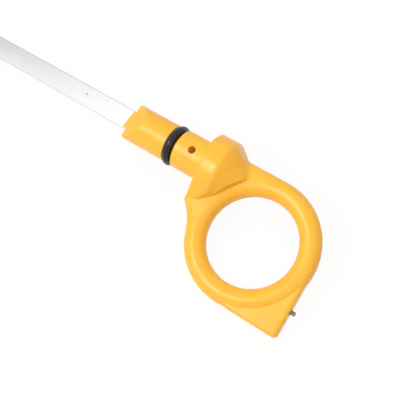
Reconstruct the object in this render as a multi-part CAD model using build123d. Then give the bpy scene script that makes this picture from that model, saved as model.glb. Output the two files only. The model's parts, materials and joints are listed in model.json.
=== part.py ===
from build123d import *
import os
from math import acos, atan, atan2, cos, degrees, hypot, radians, sin, sqrt, tan

# Engine oil dipstick: a steel strip moulded into a plastic handle with a finger ring, sealed by an O-ring.
# It is drawn along +X, the way the strip enters its tube, from the foot of the neck at the origin.
# The finger ring lies flat in the XY plane, which parts the mould, off to the +Y side. At the end the whole
# is laid on the floor as it comes to rest, on the flange, the side of the ring and the tip of the strip.
# Sizes are in millimetres and degrees.

# Plug and neck, the round part that enters the tube
plug_diameter = 11.1
plug_length = 14.75
wedge_length = 5.8
wedge_tip = 2.0
wedge_tip_round = 1.0
plug_end_round = 0.6
neck_diameter = 11.4
neck_length = 6.95
groove_width = 3.2

# O-ring in the groove
o_ring_section = 2.5
o_ring_proud = 0.55
o_ring_clearance = 0.03

# Flange that caps the tube: a disc drawn out to a rounded corner on the ring's side
flange_diameter = 18.4
corner_reach = 12.5
corner_thickness = 8.0
front_lean = 20.5
ridge_round = 3.0
foot_lead = 0.5
foot_setback = 0.4
shoulder_setback = 1.2
corner_setback = 2.0
foot_round = 4.5
front_round = 0.4
rim_setback = 8.2
rear_round = 1.8
rear_cone_angle = 39.0
rear_blend = 2.4
rear_blend_at_wall = 1.2

# Wall behind the flange that clears the finger, a shallow arc over the ring's crest
finger_wall_radius = 58.0
finger_wall_bearing = -33.0
finger_wall_gap = 0.1

# Finger ring, round in section but for a narrow flat on each crest
ring_bore = 25.3
ring_section = 6.1
ring_crest_flat = 0.2
ring_gap = 6.05
ring_offset = 12.75

# Throat, the hollow side of the web that runs from the ring out to the flange
throat_radius = 18.0
throat_sink = 0.2

# Square corner tab on the ring, with the stub of the moulding gate on its end edge
tab_inset = 0.45
tab_lead = 5.0
tab_thickness = 4.2
tab_edge_round = 1.2
tab_corner_round = 1.35
tab_end_inset = 0.25
tab_flare = 0.35
stub_diameter = 1.2
stub_length = 1.1
stub_end_round = 0.3
stub_from_corner = 8.1

# Lip where the strip leaves the plug
lip_reach = 0.75
lip_wall = 0.8
lip_side_inset = 0.15
lip_slant = 5.5

# Steel strip
blade_width = 6.0
blade_thickness = 0.8
blade_reach = 290.0
tang_past_neck = 2.6
tang_key_diameter = 2.6
tip_taper_length = 18.0
tip_width = 3.0
level_hole_diameter = 2.0
low_level_from_tip = 26.0
level_span = 20.0

# Holes left by the pins that hold the strip in the mould
core_pin_diameter = 2.25
core_pin_from_flange = 2.0
core_pin_offset = 0.2

# Passes that settle the resting pose, each one closing most of what is left
resting_passes = 12

# Places along the axis
plug_radius = plug_diameter / 2
neck_radius = neck_diameter / 2
groove_start = neck_length
groove_end = groove_start + groove_width
plug_end = groove_end + plug_length
blade_tip = plug_end + blade_reach
flange_radius = flange_diameter / 2
rim_rear = -rim_setback
rim_middle = (rim_rear - shoulder_setback) / 2
cone_slope = tan(radians(rear_cone_angle))

# The finger ring's circle
ring_radius = (ring_bore + ring_section) / 2
ring_reach = ring_bore / 2 + ring_section
ring_centre = Vector(-ring_gap - ring_reach, ring_offset, 0)

# Far enough past the flange on every side to cut right through it
beyond = 2 * flange_diameter


def bar_along_x(radius, start, end):
    """A round bar along the X axis."""
    return Pos((start + end) / 2, 0, 0) * Rot(0, 90, 0) * Cylinder(radius, end - start)


def slab(face, thickness):
    """A face in the XY plane, thickened by half to each side."""
    return extrude(face, amount=thickness / 2, both=True)


def behind(front):
    """All that lies behind a front line in the XY plane, its wall leaning back from that plane."""
    back = Polyline(front @ 1, (-beyond, beyond), (-beyond, -beyond), front @ 0)
    half = extrude(make_face([front, back]), amount=flange_radius + front_round, taper=front_lean)
    body = half + mirror(half, Plane.XY)
    ridge = [body.edges().sort_by_distance(edge @ 0.5)[0] for edge in front.edges()]
    return fillet(ridge, ridge_round)


def on_ring(angle, radius):
    """A point at an angle and a distance round the ring's centre."""
    return ring_centre + Vector(radius * cos(radians(angle)), radius * sin(radians(angle)), 0)


def finger_wall_centre():
    """The middle of the wall's arc, which passes just over the ring's crest."""
    return on_ring(finger_wall_bearing, ring_radius + finger_wall_gap - finger_wall_radius)


def plug_and_neck():
    """The bar that enters the tube, with the O-ring's groove round it and a blunt wedge at its end."""
    tip = wedge_tip / 2
    slope = (plug_radius - tip) / wedge_length
    root = Vector(plug_end - (flange_radius - tip) / slope, flange_radius)
    corners = (root, (plug_end, tip), (plug_end, -tip), (root.X, -root.Y))
    nose = FilletPolyline(*corners, radius=wedge_tip_round)
    back = Polyline(nose @ 1, (rim_rear, -root.Y), (rim_rear, root.Y), nose @ 0)
    wedge = extrude(Plane.XZ * make_face([nose, back]), amount=flange_radius, both=True)
    plug = bar_along_x(plug_radius, groove_end, plug_end) & wedge
    rims = plug.edges().filter_by(GeomType.LINE, reverse=True).sort_by(Axis.X)
    plug = fillet(rims[1:], plug_end_round)
    floor_radius = plug_radius + o_ring_proud - o_ring_section - o_ring_clearance
    core = bar_along_x(floor_radius, rim_middle, plug_end - plug_length / 2)
    return plug + core + bar_along_x(neck_radius, rim_middle, groove_start)


def flange_section():
    """The flange seen along the strip: a disc drawn out to a rounded corner on the ring's side."""
    corner_radius = corner_thickness / 2
    corner_y = corner_reach - corner_radius
    lean = (flange_radius - corner_radius) / corner_y
    rise = sqrt(1 - lean**2)
    disc_y = flange_radius * lean
    disc_z = flange_radius * rise
    nose_y = corner_y + corner_radius * lean
    nose_z = corner_radius * rise
    outline = [
        ThreePointArc((disc_y, disc_z), (-flange_radius, 0), (disc_y, -disc_z)),
        Line((disc_y, -disc_z), (nose_y, -nose_z)),
        ThreePointArc((nose_y, -nose_z), (corner_reach, 0), (nose_y, nose_z)),
        Line((nose_y, nose_z), (disc_y, disc_z)),
    ]
    return make_face(outline)


def flange():
    """The flange with its leaning front, the cone behind it and the wall that clears the finger ring."""
    cone_tip = rim_rear - flange_radius / cone_slope
    cone_rim = (groove_start - cone_tip) * cone_slope
    cone_side = Polyline((cone_tip, 0), (groove_start, 0), (groove_start, cone_rim), close=True)
    cone = revolve(make_face(cone_side), Axis.X)
    body = cone & extrude(Plane.YZ.offset(cone_tip) * flange_section(), amount=groove_start - cone_tip)
    rear_edges = body.faces().filter_by(GeomType.CONE).edges().filter_by(GeomType.LINE, reverse=True)
    body = fillet(rear_edges, rear_round)

    # In plan the front bends back at the neck's two feet, to the shoulder and to the corner.
    shoulder_foot = Vector(foot_lead, -neck_radius)
    corner_foot = Vector(-foot_setback, neck_radius)
    to_shoulder = Vector(-shoulder_setback, -flange_radius) - shoulder_foot
    to_corner = Vector(-corner_setback, corner_reach) - corner_foot
    past_shoulder = shoulder_foot + to_shoulder.normalized() * beyond
    past_corner = corner_foot + to_corner.normalized() * beyond
    body &= behind(FilletPolyline(past_shoulder, shoulder_foot, corner_foot, past_corner, radius=foot_round))
    front_edges = ShapeList(f for f in body.faces() if f.normal_at().X > 0.5).edges()
    outer_edges = [e for e in body.edges() if sum(e.is_same(other) for other in front_edges) == 1]
    body = fillet(outer_edges, front_round)
    return body - Pos(finger_wall_centre()) * Cylinder(finger_wall_radius, beyond)


def throat_arc(corner):
    """The arc that ends at a given corner, and the bearing where it leaves the ring without a corner."""
    to_corner = corner - ring_centre
    span = hypot(to_corner.X, to_corner.Y)
    reach = ring_reach + throat_radius
    swing = degrees(acos((reach**2 + span**2 - throat_radius**2) / (2 * reach * span)))
    leave_angle = degrees(atan2(to_corner.Y, to_corner.X)) + swing
    centre = on_ring(leave_angle, reach)
    leave = on_ring(leave_angle, ring_reach)
    middle = centre + ((corner - centre) + (leave - centre)).normalized() * throat_radius
    return ThreePointArc(corner, middle, leave), leave_angle


def ring_and_web():
    """The finger ring and the web that carries it, one plate with its edges rounded off."""
    corner = Vector(-corner_setback - throat_sink, corner_reach - throat_sink, 0)
    throat, leave_angle = throat_arc(corner)
    straight_start = on_ring(-90, ring_reach)
    straight_end = Vector(rim_middle, straight_start.Y, 0)
    outline = [
        Line(straight_start, straight_end),
        Line(straight_end, corner),
        throat,
        ThreePointArc(throat @ 1, on_ring((leave_angle + 270) / 2, ring_reach), straight_start),
    ]
    face = make_face(outline) - Pos(ring_centre) * Circle(ring_bore / 2)
    plate = slab(face, ring_section)
    rims = plate.faces().filter_by(Plane.XY).edges()

    # The two rims inside the flange stay sharp.
    open_rims = rims.sort_by_distance((straight_end + corner) / 2)[2:]
    return fillet(open_rims, (ring_section - ring_crest_flat) / 2)


def tab():
    """The square corner on the ring's far side, thinner than the ring, its edges swinging out of it."""
    left = ring_centre.X - ring_reach + tab_end_inset
    far = ring_centre.Y + ring_reach
    side_start = on_ring(90, ring_reach - tab_inset)
    end_start = on_ring(180, ring_reach - tab_inset)
    side_lead = TangentArc((ring_centre.X - tab_lead, far), side_start, tangent=(1, 0))
    corner = Vector(left - tab_flare, far)
    end_lead_start = Vector(left, ring_centre.Y + tab_lead)
    end_lead = TangentArc(end_lead_start, end_start, tangent=end_lead_start - corner)
    outline = [
        Line(on_ring(90, ring_radius), side_start),
        side_lead,
        Line(side_lead @ 0, corner),
        Line(corner, end_lead @ 0),
        end_lead,
        Line(end_start, on_ring(180, ring_radius)),
        ThreePointArc(on_ring(180, ring_radius), on_ring(135, ring_radius), on_ring(90, ring_radius)),
    ]
    body = slab(make_face(outline), tab_thickness)
    corner_edge = body.edges().filter_by(Axis.Z).sort_by_distance(corner)[0]
    body = fillet(corner_edge, tab_corner_round)

    # The rims on the open side are rounded, and those buried in the ring stay sharp.
    rims = body.faces().filter_by(Plane.XY).edges()
    open_rims = [e for e in rims if (e.center() - ring_centre).length > ring_reach - tab_inset]
    body = fillet(open_rims, tab_edge_round)
    stub = bar_along_x(stub_diameter / 2, left - tab_flare - stub_length, left + tab_edge_round)
    stub = fillet(stub.edges().sort_by(Axis.X)[0], stub_end_round)
    return body + Pos(0, far - stub_from_corner, 0) * stub


def lip():
    """The pads that grip the strip's two faces where it leaves the plug, their end cut on a slant."""
    half_width = blade_width / 2 - lip_side_inset
    lean = half_width * tan(radians(lip_slant))
    outline = Polyline(
        (groove_end, -half_width),
        (plug_end + lip_reach - lean, -half_width),
        (plug_end + lip_reach + lean, half_width),
        (groove_end, half_width),
        close=True,
    )
    return slab(make_face(outline), blade_thickness + 2 * lip_wall)


def core_pin_holes():
    """Two pins that meet on the strip, one from each face."""
    return Pos(core_pin_from_flange, -core_pin_offset, 0) * Cylinder(core_pin_diameter / 2, 2 * neck_diameter)


def blade():
    """The strip with its tapered tip, its two level holes and the hole that keys it into the plug."""
    half = blade_width / 2
    tip_half = tip_width / 2
    tang_start = -tang_past_neck
    taper_start = blade_tip - tip_taper_length
    round_start = blade_tip - tip_half
    outline = [
        Polyline((round_start, -tip_half), (taper_start, -half), (tang_start, -half)),
        Line((tang_start, -half), (tang_start, half)),
        Polyline((tang_start, half), (taper_start, half), (round_start, tip_half)),
        ThreePointArc((round_start, tip_half), (blade_tip, 0), (round_start, -tip_half)),
    ]
    strip = slab(make_face(outline), blade_thickness)
    low_level = blade_tip - low_level_from_tip
    level_hole = Cylinder(level_hole_diameter / 2, 2 * blade_thickness)
    for place in (low_level, low_level - level_span):
        strip -= Pos(place, 0, 0) * level_hole
    key_hole = Cylinder(tang_key_diameter / 2, 2 * blade_thickness)
    return strip - Pos(groove_end + plug_length / 2, 0, 0) * key_hole


def o_ring():
    """The seal, against the groove's wall on the strip's side."""
    centre_radius = plug_radius + o_ring_proud - o_ring_section / 2
    place = groove_end - o_ring_clearance - o_ring_section / 2
    return Pos(place, 0, 0) * Rot(0, 90, 0) * Torus(centre_radius, o_ring_section / 2)


def handle(strip):
    """The whole moulding, with the strip's own shape left out of it."""
    body = plug_and_neck() + flange() + ring_and_web() + tab() + lip()

    # The cone runs into the web's straight side through a hollow that the finger wall leaves room for.
    web_side = ring_offset - ring_reach
    seam_x = rim_rear - (flange_radius - abs(web_side)) / cone_slope
    seam = body.edges().sort_by_distance((seam_x, web_side, 0))[0]
    wall_centre = finger_wall_centre()
    wall_x = wall_centre.X + sqrt(finger_wall_radius**2 - wall_centre.Y**2)
    cone_foot = rim_rear - (flange_radius - ring_section / 2) / cone_slope
    body = fillet(seam, min(rear_blend, rear_blend_at_wall + wall_x - cone_foot))
    return body - core_pin_holes() - strip


def resting_turn(strip):
    """The turn that lays the rim, the ring's side and the strip's tip on one floor."""

    def lowest(shape):
        return (turn * shape).bounding_box().min.Z

    rim = flange()
    ring_side = ring_and_web() + tab()
    side_lever = ring_offset + ring_reach
    roll = 0.0
    pitch = 0.0
    for _ in range(resting_passes):
        turn = Rot(0, pitch, 0) * Rot(roll, 0, 0)
        rim_height = lowest(rim)
        roll -= degrees(atan((lowest(ring_side) - rim_height) / side_lever))
        pitch += degrees(atan((lowest(strip) - rim_height) / blade_tip))
    return Rot(0, pitch, 0) * Rot(roll, 0, 0)


strip = blade()
nodes = {"handle": handle(strip), "blade": strip, "o_ring": o_ring()}

# The floor is Z = 0, and the middle of the whole outline in plan is the origin.
turn = resting_turn(strip)
turned = {name: turn * node for name, node in nodes.items()}
box = Compound(list(turned.values())).bounding_box()
place = Pos(-box.center().X, -box.center().Y, -box.min.Z)

os.makedirs("parts", exist_ok=True)
for name, node in turned.items():
    export_step(place * node, f"parts/{name}.step")
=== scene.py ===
"""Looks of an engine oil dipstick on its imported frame: finishes, floor, light and camera."""

import json
import logging
import math
from dataclasses import dataclass
from enum import Enum
from typing import Any, Optional, Union

import bpy
from mathutils import Matrix, Vector

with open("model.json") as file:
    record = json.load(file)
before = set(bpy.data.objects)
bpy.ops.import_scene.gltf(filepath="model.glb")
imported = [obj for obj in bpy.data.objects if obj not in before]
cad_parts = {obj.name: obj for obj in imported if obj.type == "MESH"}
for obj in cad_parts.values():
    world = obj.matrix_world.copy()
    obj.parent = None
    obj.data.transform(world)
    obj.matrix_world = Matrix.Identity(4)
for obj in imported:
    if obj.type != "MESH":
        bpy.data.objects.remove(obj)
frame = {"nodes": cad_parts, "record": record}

log = logging.getLogger("dipstick")

# A linear colour with alpha, and a place, direction or size on three axes
Colour = tuple[float, float, float, float]
Triple = tuple[float, float, float]

# Where a mask starts and where it is full, the second of which may be the smaller
Fade = tuple[float, float]

MM = 0.001
WHITE: Colour = (1.0, 1.0, 1.0, 1.0)

# From the foot of the neck to the point that the plug's mount names, in millimetres
PLUG_MIDDLE = 14.625


class Node(Enum):
    """The part's nodes by the names the frame gives them."""

    HANDLE = "handle"
    BLADE = "blade"
    O_RING = "o_ring"


class Channel(Enum):
    """Inputs of the surface shader that a finish varies."""

    COLOUR = "Base Color"
    ROUGHNESS = "Roughness"
    METALLIC = "Metallic"
    NORMAL = "Normal"


def srgb(red: float, green: float, blue: float) -> Colour:
    """Turns a display colour into the linear colour that shaders take.

    Args:
        red: Red from 0 to 255.
        green: Green from 0 to 255.
        blue: Blue from 0 to 255.

    Returns:
        The linear colour with full alpha.
    """

    def linear(value: float) -> float:
        """Returns one channel on the linear scale, by the curve of the display standard."""
        share = value / 255
        return share / 12.92 if share <= 0.04045 else ((share + 0.055) / 1.055) ** 2.4

    return (linear(red), linear(green), linear(blue), 1.0)


@dataclass(frozen=True)
class Noise:
    """A noise field: its lumps to one unit, its finer layers, their strength and its stretch."""

    scale: float
    detail: float
    rough: float = 0.5
    stretch: Optional[Triple] = None


@dataclass(frozen=True)
class Sock:
    """One output socket, with the arithmetic that the finishes use."""

    shader: "Shader"
    socket: Any

    def __add__(self, other: Union["Sock", float]) -> "Sock":
        """Returns the sum."""
        return self.shader.maths("ADD", self, other)

    __radd__ = __add__

    def __sub__(self, other: Union["Sock", float]) -> "Sock":
        """Returns the difference."""
        return self.shader.maths("SUBTRACT", self, other)

    def __rsub__(self, other: float) -> "Sock":
        """Returns a number less this."""
        return self.shader.maths("SUBTRACT", other, self)

    def __mul__(self, other: Union["Sock", float]) -> "Sock":
        """Returns the product."""
        return self.shader.maths("MULTIPLY", self, other)

    __rmul__ = __mul__

    def __truediv__(self, other: Union["Sock", float]) -> "Sock":
        """Returns the quotient."""
        return self.shader.maths("DIVIDE", self, other)

    def __rtruediv__(self, other: float) -> "Sock":
        """Returns a number divided by this."""
        return self.shader.maths("DIVIDE", other, self)

    def __abs__(self) -> "Sock":
        """Returns the size without its sign."""
        return self.shader.maths("ABSOLUTE", self)

    def sine(self) -> "Sock":
        """Returns the sine of this, taken as radians."""
        return self.shader.maths("SINE", self)

    def high(self, other: Union["Sock", float]) -> "Sock":
        """Returns the larger of two."""
        return self.shader.maths("MAXIMUM", self, other)

    def fade(self, start: float, full: float) -> "Sock":
        """Eases from 0 to 1.

        Args:
            start: The value that gives 0.
            full: The value that gives 1, which may be the smaller one.

        Returns:
            A smooth step between the two.
        """
        settings = {"interpolation_type": "SMOOTHSTEP"}
        sockets = {"Value": self, "From Min": start, "From Max": full}
        return self.shader.node("ShaderNodeMapRange", settings, sockets)["Result"]

    def blend(self, colour_0: Union["Sock", Colour], colour_1: Union["Sock", Colour]) -> "Sock":
        """Mixes two colours by this socket.

        Args:
            colour_0: The colour at 0.
            colour_1: The colour at 1.

        Returns:
            The mixed colour.
        """
        sockets = {0: self, 6: colour_0, 7: colour_1}
        return self.shader.node("ShaderNodeMix", {"data_type": "RGBA"}, sockets)[2]


class Outputs:
    """The outputs of one node, by name or by index."""

    def __init__(self, shader: "Shader", made: bpy.types.Node) -> None:
        """Keeps the node.

        Args:
            shader: The graph that the node belongs to.
            made: The node.
        """
        self.shader = shader
        self.made = made

    def __getitem__(self, key: Union[str, int]) -> Sock:
        """Returns one output as a socket."""
        return Sock(self.shader, self.made.outputs[key])


class Shader:
    """The node graph of one material or sky, written as arithmetic on sockets."""

    def __init__(self, owner: Union[bpy.types.Material, bpy.types.World]) -> None:
        """Starts an empty graph.

        Args:
            owner: The material or the sky that the graph belongs to.
        """
        owner.use_nodes = True
        self.owner = owner
        self.tree = owner.node_tree
        self.tree.nodes.clear()

    def node(self, kind: str, settings: dict[str, Any], sockets: dict[Union[str, int], Any]) -> Outputs:
        """Adds one node.

        Args:
            kind: The node's type.
            settings: Properties to set first, because they can change the sockets.
            sockets: Inputs by name or index, each a socket to link or a value to set.

        Returns:
            The node's outputs.
        """
        made = self.tree.nodes.new(kind)
        for key, value in settings.items():
            setattr(made, key, value)
        for key, value in sockets.items():
            if isinstance(value, Sock):
                self.tree.links.new(value.socket, made.inputs[key])
            else:
                made.inputs[key].default_value = value
        return Outputs(self, made)

    def maths(self, kind: str, *values: Union[Sock, float]) -> Sock:
        """Adds one maths node.

        Args:
            kind: Its operation.
            values: Its inputs in order.

        Returns:
            The result.
        """
        return self.node("ShaderNodeMath", {"operation": kind}, dict(enumerate(values)))[0]

    def vector(self, kind: str, *values: Union[Sock, Triple]) -> Outputs:
        """Adds one vector maths node.

        Args:
            kind: Its operation.
            values: Its inputs in order.

        Returns:
            The node's outputs.
        """
        return self.node("ShaderNodeVectorMath", {"operation": kind}, dict(enumerate(values)))

    def noise(self, place: Sock, noise: Noise) -> Sock:
        """Adds a noise field.

        Args:
            place: Where it is read.
            noise: What it is like.

        Returns:
            The field, about 0 to 1.
        """
        if noise.stretch is not None:
            place = self.vector("MULTIPLY", place, noise.stretch)[0]
        sockets = {"Vector": place, "Scale": noise.scale, "Detail": noise.detail, "Roughness": noise.rough}
        return self.node("ShaderNodeTexNoise", {"noise_dimensions": "3D"}, sockets)[0]

    def bump(self, height: Sock, relief: float) -> Sock:
        """Adds a bump.

        Args:
            height: The height field, 0 to 1.
            relief: What 1 stands for, in millimetres.

        Returns:
            The bent normal.
        """
        return self.node("ShaderNodeBump", {}, {"Height": height, "Distance": relief * MM})[0]

    def looking(self) -> Sock:
        """Returns 1 for rays of the camera, reflections and clear matter, and 0 for those that light."""
        path = self.node("ShaderNodeLightPath", {}, {})
        return path["Is Camera Ray"].high(path["Is Glossy Ray"]).high(path["Is Transmission Ray"])

    def surface(self, fixed: dict[str, Any], varied: dict[Channel, Sock]) -> bpy.types.Material:
        """Closes the graph with one surface shader.

        Args:
            fixed: Constant inputs by name.
            varied: Inputs that vary over the surface.

        Returns:
            The finished material.
        """
        sockets = {**fixed, **{channel.value: sock for channel, sock in varied.items()}}
        skin = self.node("ShaderNodeBsdfPrincipled", {}, sockets)[0]
        self.node("ShaderNodeOutputMaterial", {}, {"Surface": skin})
        return self.owner


@dataclass(frozen=True)
class PartPose:
    """Where the part's own axes lie: x along the strip from the neck's foot, z out of the ring's face."""

    to_row: Matrix

    @classmethod
    def read(cls, record: dict[str, Any], strip: bpy.types.Object) -> "PartPose":
        """Finds the axes from the plug's mount and the strip's flat.

        Args:
            record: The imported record.
            strip: The strip's node.

        Returns:
            The pose.
        """
        mount = record["mounts"][0]
        along = Vector(mount["axis"]).normalized()
        flat = max(strip.data.polygons, key=lambda polygon: polygon.area).normal
        outward = flat if flat.z > 0 else -flat
        across = outward.cross(along).normalized()
        outward = along.cross(across)
        origin = Vector(mount["pos_m"]) - along * PLUG_MIDDLE * MM
        turn = Matrix((along, across, outward)).transposed().to_4x4()
        return cls(Matrix.Translation(origin) @ turn)

    def point(self, place: Triple) -> Vector:
        """Carries a point on the part's axes into the row frame.

        Args:
            place: The point in millimetres.

        Returns:
            The point in metres.
        """
        return self.to_row @ (Vector(place) * MM)

    def direction(self, toward: Triple) -> Vector:
        """Carries a direction on the part's axes into the row frame.

        Args:
            toward: The direction, of any length.

        Returns:
            The unit direction.
        """
        return (self.to_row.to_3x3() @ Vector(toward)).normalized()

    def coordinates(self, shader: Shader) -> tuple[Sock, Sock, Sock, Sock]:
        """Gives a graph the place on the part's axes.

        Args:
            shader: The graph.

        Returns:
            The place in millimetres as a vector, then its x, y and z.
        """
        place = shader.node("ShaderNodeTexCoord", {}, {})["Object"]
        offset = shader.vector("SUBTRACT", place, tuple(self.to_row.translation))[0]
        axes = [tuple(self.to_row.col[index][:3]) for index in range(3)]
        x, y, z = [shader.vector("DOT_PRODUCT", offset, axis)["Value"] * (1 / MM) for axis in axes]
        whole = shader.node("ShaderNodeCombineXYZ", {}, {"X": x, "Y": y, "Z": z})[0]
        return whole, x, y, z


@dataclass(frozen=True)
class GateStub:
    """Grey broken end of the moulding gate, which stands on the tab's end edge."""

    colour: Colour = srgb(122, 116, 114)
    root: Fade = (-43.35, -43.5)
    middle_y: float = 23.4
    reach: Fade = (1.0, 0.8)

    def mask(self, x: Sock, y: Sock) -> Sock:
        """Finds the stub.

        Args:
            x: The place along the strip.
            y: The place toward the ring.

        Returns:
            1 on the stub and 0 elsewhere.
        """
        return x.fade(*self.root) * abs(y - self.middle_y).fade(*self.reach)


@dataclass(frozen=True)
class PaintedSheenPatch:
    """Painted reflection: a pale sheen painted on the rear cone, on the side away from the ring."""

    colour: Colour = srgb(250, 208, 162)
    front: Fade = (-8.2, -8.7)
    rear: Fade = (-11.9, -11.2)
    side: Fade = (-4.4, -5.2)
    slope: Fade = (0.79, 0.73)
    underside: Fade = (1.5, 3.0)
    axis_y: float = 0.1
    share: float = 0.9

    def mask(self, x: Sock, y: Sock, z: Sock) -> Sock:
        """Finds the painted sheen.

        Args:
            x: The place along the strip.
            y: The place toward the ring.
            z: The place out of the ring's face.

        Returns:
            How strongly the painted sheen shows, from 0 to 1.
        """
        on_cone = x.fade(*self.front) * x.fade(*self.rear) * y.fade(*self.side)
        slope = z / (self.axis_y - y)
        return on_cone * slope.fade(*self.slope) * z.fade(*self.underside) * self.share


@dataclass(frozen=True)
class MouldedPlastic:
    """Yellow moulding resin with a fine satin skin, a parting line and a pale painted sheen on the rear
    cone.
    """

    pose: PartPose
    stub: GateStub = GateStub()
    # A pale reflection painted on the rear cone
    painted_sheen: PaintedSheenPatch = PaintedSheenPatch()
    body: Colour = srgb(253, 194, 60)
    deep: Colour = srgb(252, 185, 46)
    deep_from: Fade = (0.3, 0.7)
    deep_share: float = 0.55
    cloud: Noise = Noise(0.16, 3.0)
    grain: Noise = Noise(6.0, 3.0, 0.6)
    scuff: Noise = Noise(1.4, 4.0, 0.7, (0.5, 1.6, 1.6))
    scuffed_from: Fade = (0.62, 0.74)
    seam_from: Fade = (0.12, 0.02)
    roughness: float = 0.27
    cloud_dulls_from: Fade = (0.25, 0.75)
    cloud_dulls: float = 0.05
    grain_dulls: float = 0.06
    scuff_dulls: float = 0.05
    grain_height: float = 0.5
    seam_height: float = 0.9
    scuff_height: float = 0.12
    relief: float = 0.012
    ior: float = 1.5
    reflection: float = 0.54
    inner_light: float = 0.25
    inner_reach: Triple = (1.0, 0.45, 0.08)
    inner_scale: float = 2.0

    def material(self) -> bpy.types.Material:
        """Returns the finish."""
        shader = Shader(bpy.data.materials.new("moulded_plastic"))
        place, x, y, z = self.pose.coordinates(shader)
        cloud = shader.noise(place, self.cloud)
        grain = shader.noise(place, self.grain)
        scuff = shader.noise(place, self.scuff).fade(*self.scuffed_from)
        seam = abs(z).fade(*self.seam_from)
        tone = (cloud.fade(*self.deep_from) * self.deep_share).blend(self.body, self.deep)
        # Painted reflection: the pale sheen on the rear cone
        tone = self.painted_sheen.mask(x, y, z).blend(tone, self.painted_sheen.colour)
        tone = self.stub.mask(x, y).blend(tone, self.stub.colour)
        dulled = cloud.fade(*self.cloud_dulls_from) * self.cloud_dulls
        dulled = dulled + grain * self.grain_dulls + scuff * self.scuff_dulls
        height = grain * self.grain_height + seam * self.seam_height + scuff * self.scuff_height
        fixed = {
            "IOR": self.ior,
            "Specular IOR Level": self.reflection,
            "Subsurface Weight": self.inner_light,
            "Subsurface Radius": self.inner_reach,
            "Subsurface Scale": self.inner_scale * MM,
        }
        varied = {
            Channel.COLOUR: tone,
            Channel.ROUGHNESS: dulled + self.roughness,
            Channel.NORMAL: shader.bump(height, self.relief),
        }
        return shader.surface(fixed, varied)


@dataclass(frozen=True)
class LevelHatch:
    """Crossed cuts between the two level holes, which hold the oil to be read."""

    low_level: float = 288.9
    level_span: float = 20.0
    pitch: float = 1.2
    cut: Fade = (0.55, 0.95)
    hole_margin: Fade = (1.6, 2.2)

    def mask(self, x: Sock, y: Sock) -> Sock:
        """Finds the cuts.

        Args:
            x: The place along the strip.
            y: The place across the strip.

        Returns:
            1 in the cuts and 0 elsewhere.
        """
        turn = 2 * math.pi / self.pitch
        cuts = ((x + y) * turn).sine().high(((x - y) * turn).sine()).fade(*self.cut)
        half_span = self.level_span / 2
        from_middle = abs(x - (self.low_level - half_span))
        return cuts * from_middle.fade(*(half_span - margin for margin in self.hole_margin))


@dataclass(frozen=True)
class Speck:
    """One dark speck on the strip near the plug."""

    colour: Colour = srgb(120, 112, 100)
    x: float = 41.93
    y: float = -0.43
    squared_reach: Fade = (0.12, 0.03)

    def mask(self, x: Sock, y: Sock) -> Sock:
        """Finds the speck.

        Args:
            x: The place along the strip.
            y: The place across the strip.

        Returns:
            1 on the speck and 0 elsewhere.
        """
        along = x - self.x
        across = y - self.y
        return (along * along + across * across).fade(*self.squared_reach)


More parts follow.
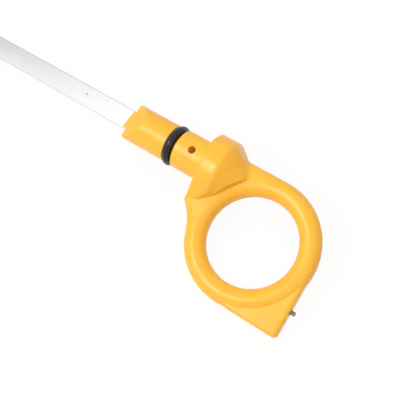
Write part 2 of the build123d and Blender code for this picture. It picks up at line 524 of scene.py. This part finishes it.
@dataclass(frozen=True)
class StripSteel:
    """Bright steel strip as it came from the rolls, brushed along its length, with fine pits, a painted
    reflection near the plug and painted shade along its edges.
    """

    pose: PartPose
    hatch: LevelHatch = LevelHatch()
    speck: Speck = Speck()
    bright: Colour = srgb(238, 235, 232)
    dull_and_painted_reflection: Colour = srgb(176, 181, 190)
    # Painted shade: the grey of the strip's edges, where the rounded edges turn from the light
    edge_shade: Colour = srgb(150, 152, 158)
    brushing: Noise = Noise(1.0, 3.0, 0.6, (0.05, 6.0, 6.0))
    cloud: Noise = Noise(0.5, 3.0, stretch=(0.2, 1.0, 1.0))
    pits: Noise = Noise(2.6, 2.0, 0.7)
    pitted_from: Fade = (0.72, 0.8)
    # Painted reflection: the strip is painted bright near the plug and greyer further along and towards the
    # edge away from the ring
    painted_reflection_along: Fade = (30.0, 110.0)
    painted_reflection_across: Fade = (3.6, -2.4)
    painted_reflection_share: float = 0.65
    dull_by_cloud: float = 0.2
    dull_by_brushing: float = 0.15
    half_width: float = 3.0
    # Painted shade along the edges: its width, the side where it is stronger, and its shares
    edge_shade_width: float = 0.22
    edge_shade_side: Fade = (0.5, -0.5)
    edge_shade_share: float = 0.3
    edge_shade_side_share: float = 0.5
    pit_stain: float = 0.35
    speck_stain: float = 0.8
    stain_covers: float = 0.6
    roughness: float = 0.2
    brushing_dulls: float = 0.12
    cloud_dulls: float = 0.06
    hatch_dulls: float = 0.1
    pits_dull: float = 0.2
    brushing_height: float = 0.08
    hatch_depth: float = 0.9
    pit_depth: float = 0.2
    relief: float = 0.03

    def edge(self, y: Sock) -> Sock:
        """Finds the painted shade along the edges, which is stronger on the side away from the ring.

        Args:
            y: The place across the strip.

        Returns:
            The share of the painted edge shade.
        """
        start = self.half_width - self.edge_shade_width
        full = self.half_width - self.edge_shade_width / 2
        share = y.fade(*self.edge_shade_side) * self.edge_shade_side_share + self.edge_shade_share
        return abs(y).fade(start, full) * share

    def material(self) -> bpy.types.Material:
        """Returns the finish."""
        shader = Shader(bpy.data.materials.new("strip_steel"))
        place, x, y, _ = self.pose.coordinates(shader)
        brushing = shader.noise(place, self.brushing)
        cloud = shader.noise(place, self.cloud)
        pits = shader.noise(place, self.pits).fade(*self.pitted_from)
        speck = self.speck.mask(x, y)
        hatch = self.hatch.mask(x, y)
        # Painted reflection: bright near the plug, turning greyer along the strip and across it away from
        # the ring
        painted_reflection = x.fade(*self.painted_reflection_along) * y.fade(*self.painted_reflection_across) * self.painted_reflection_share
        dull_and_painted_reflection = cloud * self.dull_by_cloud + brushing * self.dull_by_brushing + painted_reflection
        # Painted shade along the edges, over the tone with its painted reflection
        tone = self.edge(y).blend(dull_and_painted_reflection.blend(self.bright, self.dull_and_painted_reflection), self.edge_shade)
        tone = (pits * self.pit_stain).high(speck * self.speck_stain).blend(tone, self.speck.colour)
        dulled = brushing * self.brushing_dulls + cloud * self.cloud_dulls
        dulled = dulled + hatch * self.hatch_dulls + pits * self.pits_dull
        height = brushing * self.brushing_height - hatch * self.hatch_depth - pits * self.pit_depth
        varied = {
            Channel.COLOUR: tone,
            Channel.ROUGHNESS: dulled + self.roughness,
            Channel.METALLIC: 1 - pits.high(speck) * self.stain_covers,
            Channel.NORMAL: shader.bump(height, self.relief),
        }
        return shader.surface({}, varied)


@dataclass(frozen=True)
class SealRubber:
    """Black seal rubber with a faint bloom."""

    pose: PartPose
    black: Colour = srgb(14, 14, 16)
    bloom: Colour = srgb(44, 44, 46)
    bloom_from: Fade = (0.45, 0.8)
    bloom_share: float = 0.5
    cloud: Noise = Noise(0.9, 4.0, 0.6)
    grain: Noise = Noise(9.0, 2.0, 0.6)
    roughness: float = 0.07
    cloud_dulls: float = 0.04
    grain_dulls: float = 0.03
    relief: float = 0.01
    ior: float = 1.5
    reflection: float = 0.45

    def material(self) -> bpy.types.Material:
        """Returns the finish."""
        shader = Shader(bpy.data.materials.new("seal_rubber"))
        place, _, _, _ = self.pose.coordinates(shader)
        cloud = shader.noise(place, self.cloud)
        grain = shader.noise(place, self.grain)
        varied = {
            Channel.COLOUR: (cloud.fade(*self.bloom_from) * self.bloom_share).blend(self.black, self.bloom),
            Channel.ROUGHNESS: cloud * self.cloud_dulls + grain * self.grain_dulls + self.roughness,
            Channel.NORMAL: shader.bump(grain, self.relief),
        }
        return shader.surface({"IOR": self.ior, "Specular IOR Level": self.reflection}, varied)


@dataclass(frozen=True)
class PaleFloor:
    """White sweep that is seen as paper white, with a soft trace of the shadow."""

    paper: Colour = (0.93, 0.95, 0.96, 1.0)
    shadow_share: float = 0.06
    fibre: Noise = Noise(900.0, 3.0, 0.6)
    roughness: float = 0.85
    fibre_dulls: float = 0.1
    reflection: float = 0.1

    def material(self) -> bpy.types.Material:
        """Returns the finish."""
        shader = Shader(bpy.data.materials.new("pale_floor"))
        place = shader.node("ShaderNodeTexCoord", {}, {})["Object"]
        sockets = {
            "Base Color": self.paper,
            "Roughness": shader.noise(place, self.fibre) * self.fibre_dulls + self.roughness,
            "Specular IOR Level": self.reflection,
        }
        lit = shader.node("ShaderNodeBsdfPrincipled", {}, sockets)[0]
        plain = shader.node("ShaderNodeEmission", {}, {"Color": WHITE, "Strength": 1.0})[0]
        share = shader.looking() * (1 - self.shadow_share)
        mixed = shader.node("ShaderNodeMixShader", {}, {0: share, 1: lit, 2: plain})[0]
        shader.node("ShaderNodeOutputMaterial", {}, {"Surface": mixed})
        return shader.owner


@dataclass(frozen=True)
class Sky:
    """Warm light from all round, which is seen as white."""

    colour: Colour = (1.0, 0.78, 0.52, 1.0)
    strength: float = 0.34

    def world(self) -> bpy.types.World:
        """Returns the sky."""
        shader = Shader(bpy.data.worlds.new("sky"))
        fill = shader.node("ShaderNodeBackground", {}, {"Color": self.colour, "Strength": self.strength})[0]
        plain = shader.node("ShaderNodeBackground", {}, {"Color": WHITE, "Strength": 1.0})[0]
        mixed = shader.node("ShaderNodeMixShader", {}, {0: shader.looking(), 1: fill, 2: plain})[0]
        shader.node("ShaderNodeOutputWorld", {}, {"Surface": mixed})
        return shader.owner


@dataclass(frozen=True)
class Piece:
    """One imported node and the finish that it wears."""

    node: Node
    finish: Union[MouldedPlastic, StripSteel, SealRubber]

    def dress(self) -> None:
        """Puts the finish on every material slot of the node."""
        shown = frame["nodes"][self.node.value]
        material = self.finish.material()
        for index in range(len(shown.data.materials)):
            shown.data.materials[index] = material
        log.info("%s: %s, %d triangles", self.node.value, material.name, len(shown.data.polygons))


@dataclass(frozen=True)
class Lamp:
    """One soft lamp: the way to it, its distance and size in metres, and its power in watts."""

    name: str
    toward: Triple
    distance: float
    size: tuple[float, float]
    power: float
    mirrored: bool = False

    def hang(self, pose: PartPose, lit_point: Triple) -> None:
        """Hangs the lamp and turns it to the part.

        Args:
            pose: The part's axes.
            lit_point: The point that it lights, in millimetres on those axes.
        """
        data = bpy.data.lights.new(self.name, "AREA")
        data.shape = "RECTANGLE"
        data.size, data.size_y = self.size
        data.energy = self.power
        made = bpy.data.objects.new(self.name, data)
        aim = pose.direction(self.toward)
        made.location = pose.point(lit_point) + aim * self.distance
        made.rotation_mode = "QUATERNION"
        made.rotation_quaternion = aim.to_track_quat("Z", "Y")
        made.visible_glossy = self.mirrored
        bpy.context.collection.objects.link(made)


@dataclass(frozen=True)
class Studio:
    """Floor, lamps and sky round the part."""

    pose: PartPose
    half_floor: float = 2.5
    lit_point: Triple = (0.0, 6.0, 0.0)
    lamps: tuple[Lamp, ...] = (
        Lamp("key", (0.31, 0.22, 0.93), 0.7, (0.3, 0.3), 1.7, mirrored=True),
        Lamp("overhead", (0.05, 0.0, 1.0), 0.9, (1.9, 1.6), 6.3),
        Lamp("fill_high", (0.1, -0.8, 0.6), 1.0, (0.9, 0.9), 2.0),
        Lamp("fill_low", (0.3, 0.85, 0.42), 1.0, (0.9, 0.9), 1.6),
    )

    def floor(self) -> None:
        """Lays the floor under the part."""
        side = self.half_floor
        corners = [(-side, -side, 0.0), (side, -side, 0.0), (side, side, 0.0), (-side, side, 0.0)]
        mesh = bpy.data.meshes.new("floor")
        mesh.from_pydata(corners, [], [(0, 1, 2, 3)])
        mesh.materials.append(PaleFloor().material())
        ground = bpy.data.objects.new("floor", mesh)
        bpy.context.collection.objects.link(ground)

    def light(self) -> None:
        """Hangs the lamps and sets the sky."""
        for lamp in self.lamps:
            lamp.hang(self.pose, self.lit_point)
        bpy.context.scene.world = Sky().world()


@dataclass(frozen=True)
class Viewpoint:
    """The photograph's camera on the part's axes, in millimetres, with its focal length in pixels."""

    pose: PartPose
    eye: Triple = (-74.63, 33.64, 194.46)
    ahead: Triple = (0.3174, -0.1108, -0.9418)
    above: Triple = (0.477, -0.8397, 0.2595)
    focal_pixels: float = 751.09
    frame_pixels: float = 416.0
    sensor_width: float = 36.0
    nearest: float = 10.0

    def place(self) -> None:
        """Sets up the scene's camera."""
        data = bpy.data.cameras.new("camera")
        data.sensor_width = self.sensor_width
        data.lens = self.sensor_width * self.focal_pixels / self.frame_pixels
        data.clip_start = self.nearest * MM
        camera = bpy.data.objects.new("camera", data)
        back = -self.pose.direction(self.ahead)
        right = self.pose.direction(self.above).cross(back).normalized()
        upward = back.cross(right)
        turn = Matrix((right, upward, back)).transposed().to_4x4()
        camera.matrix_world = Matrix.Translation(self.pose.point(self.eye)) @ turn
        bpy.context.collection.objects.link(camera)
        bpy.context.scene.camera = camera


def main() -> None:
    """Dresses the part and sets up the scene round it."""
    logging.basicConfig(level=logging.INFO, format="%(name)s %(message)s")
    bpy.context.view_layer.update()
    pose = PartPose.read(frame["record"], frame["nodes"][Node.BLADE.value])
    for piece in (
        Piece(Node.HANDLE, MouldedPlastic(pose)),
        Piece(Node.BLADE, StripSteel(pose)),
        Piece(Node.O_RING, SealRubber(pose)),
    ):
        piece.dress()
    studio = Studio(pose)
    studio.floor()
    studio.light()
    Viewpoint(pose).place()
    bpy.context.scene.view_settings.view_transform = "Standard"


if __name__ == "__main__":
    main()
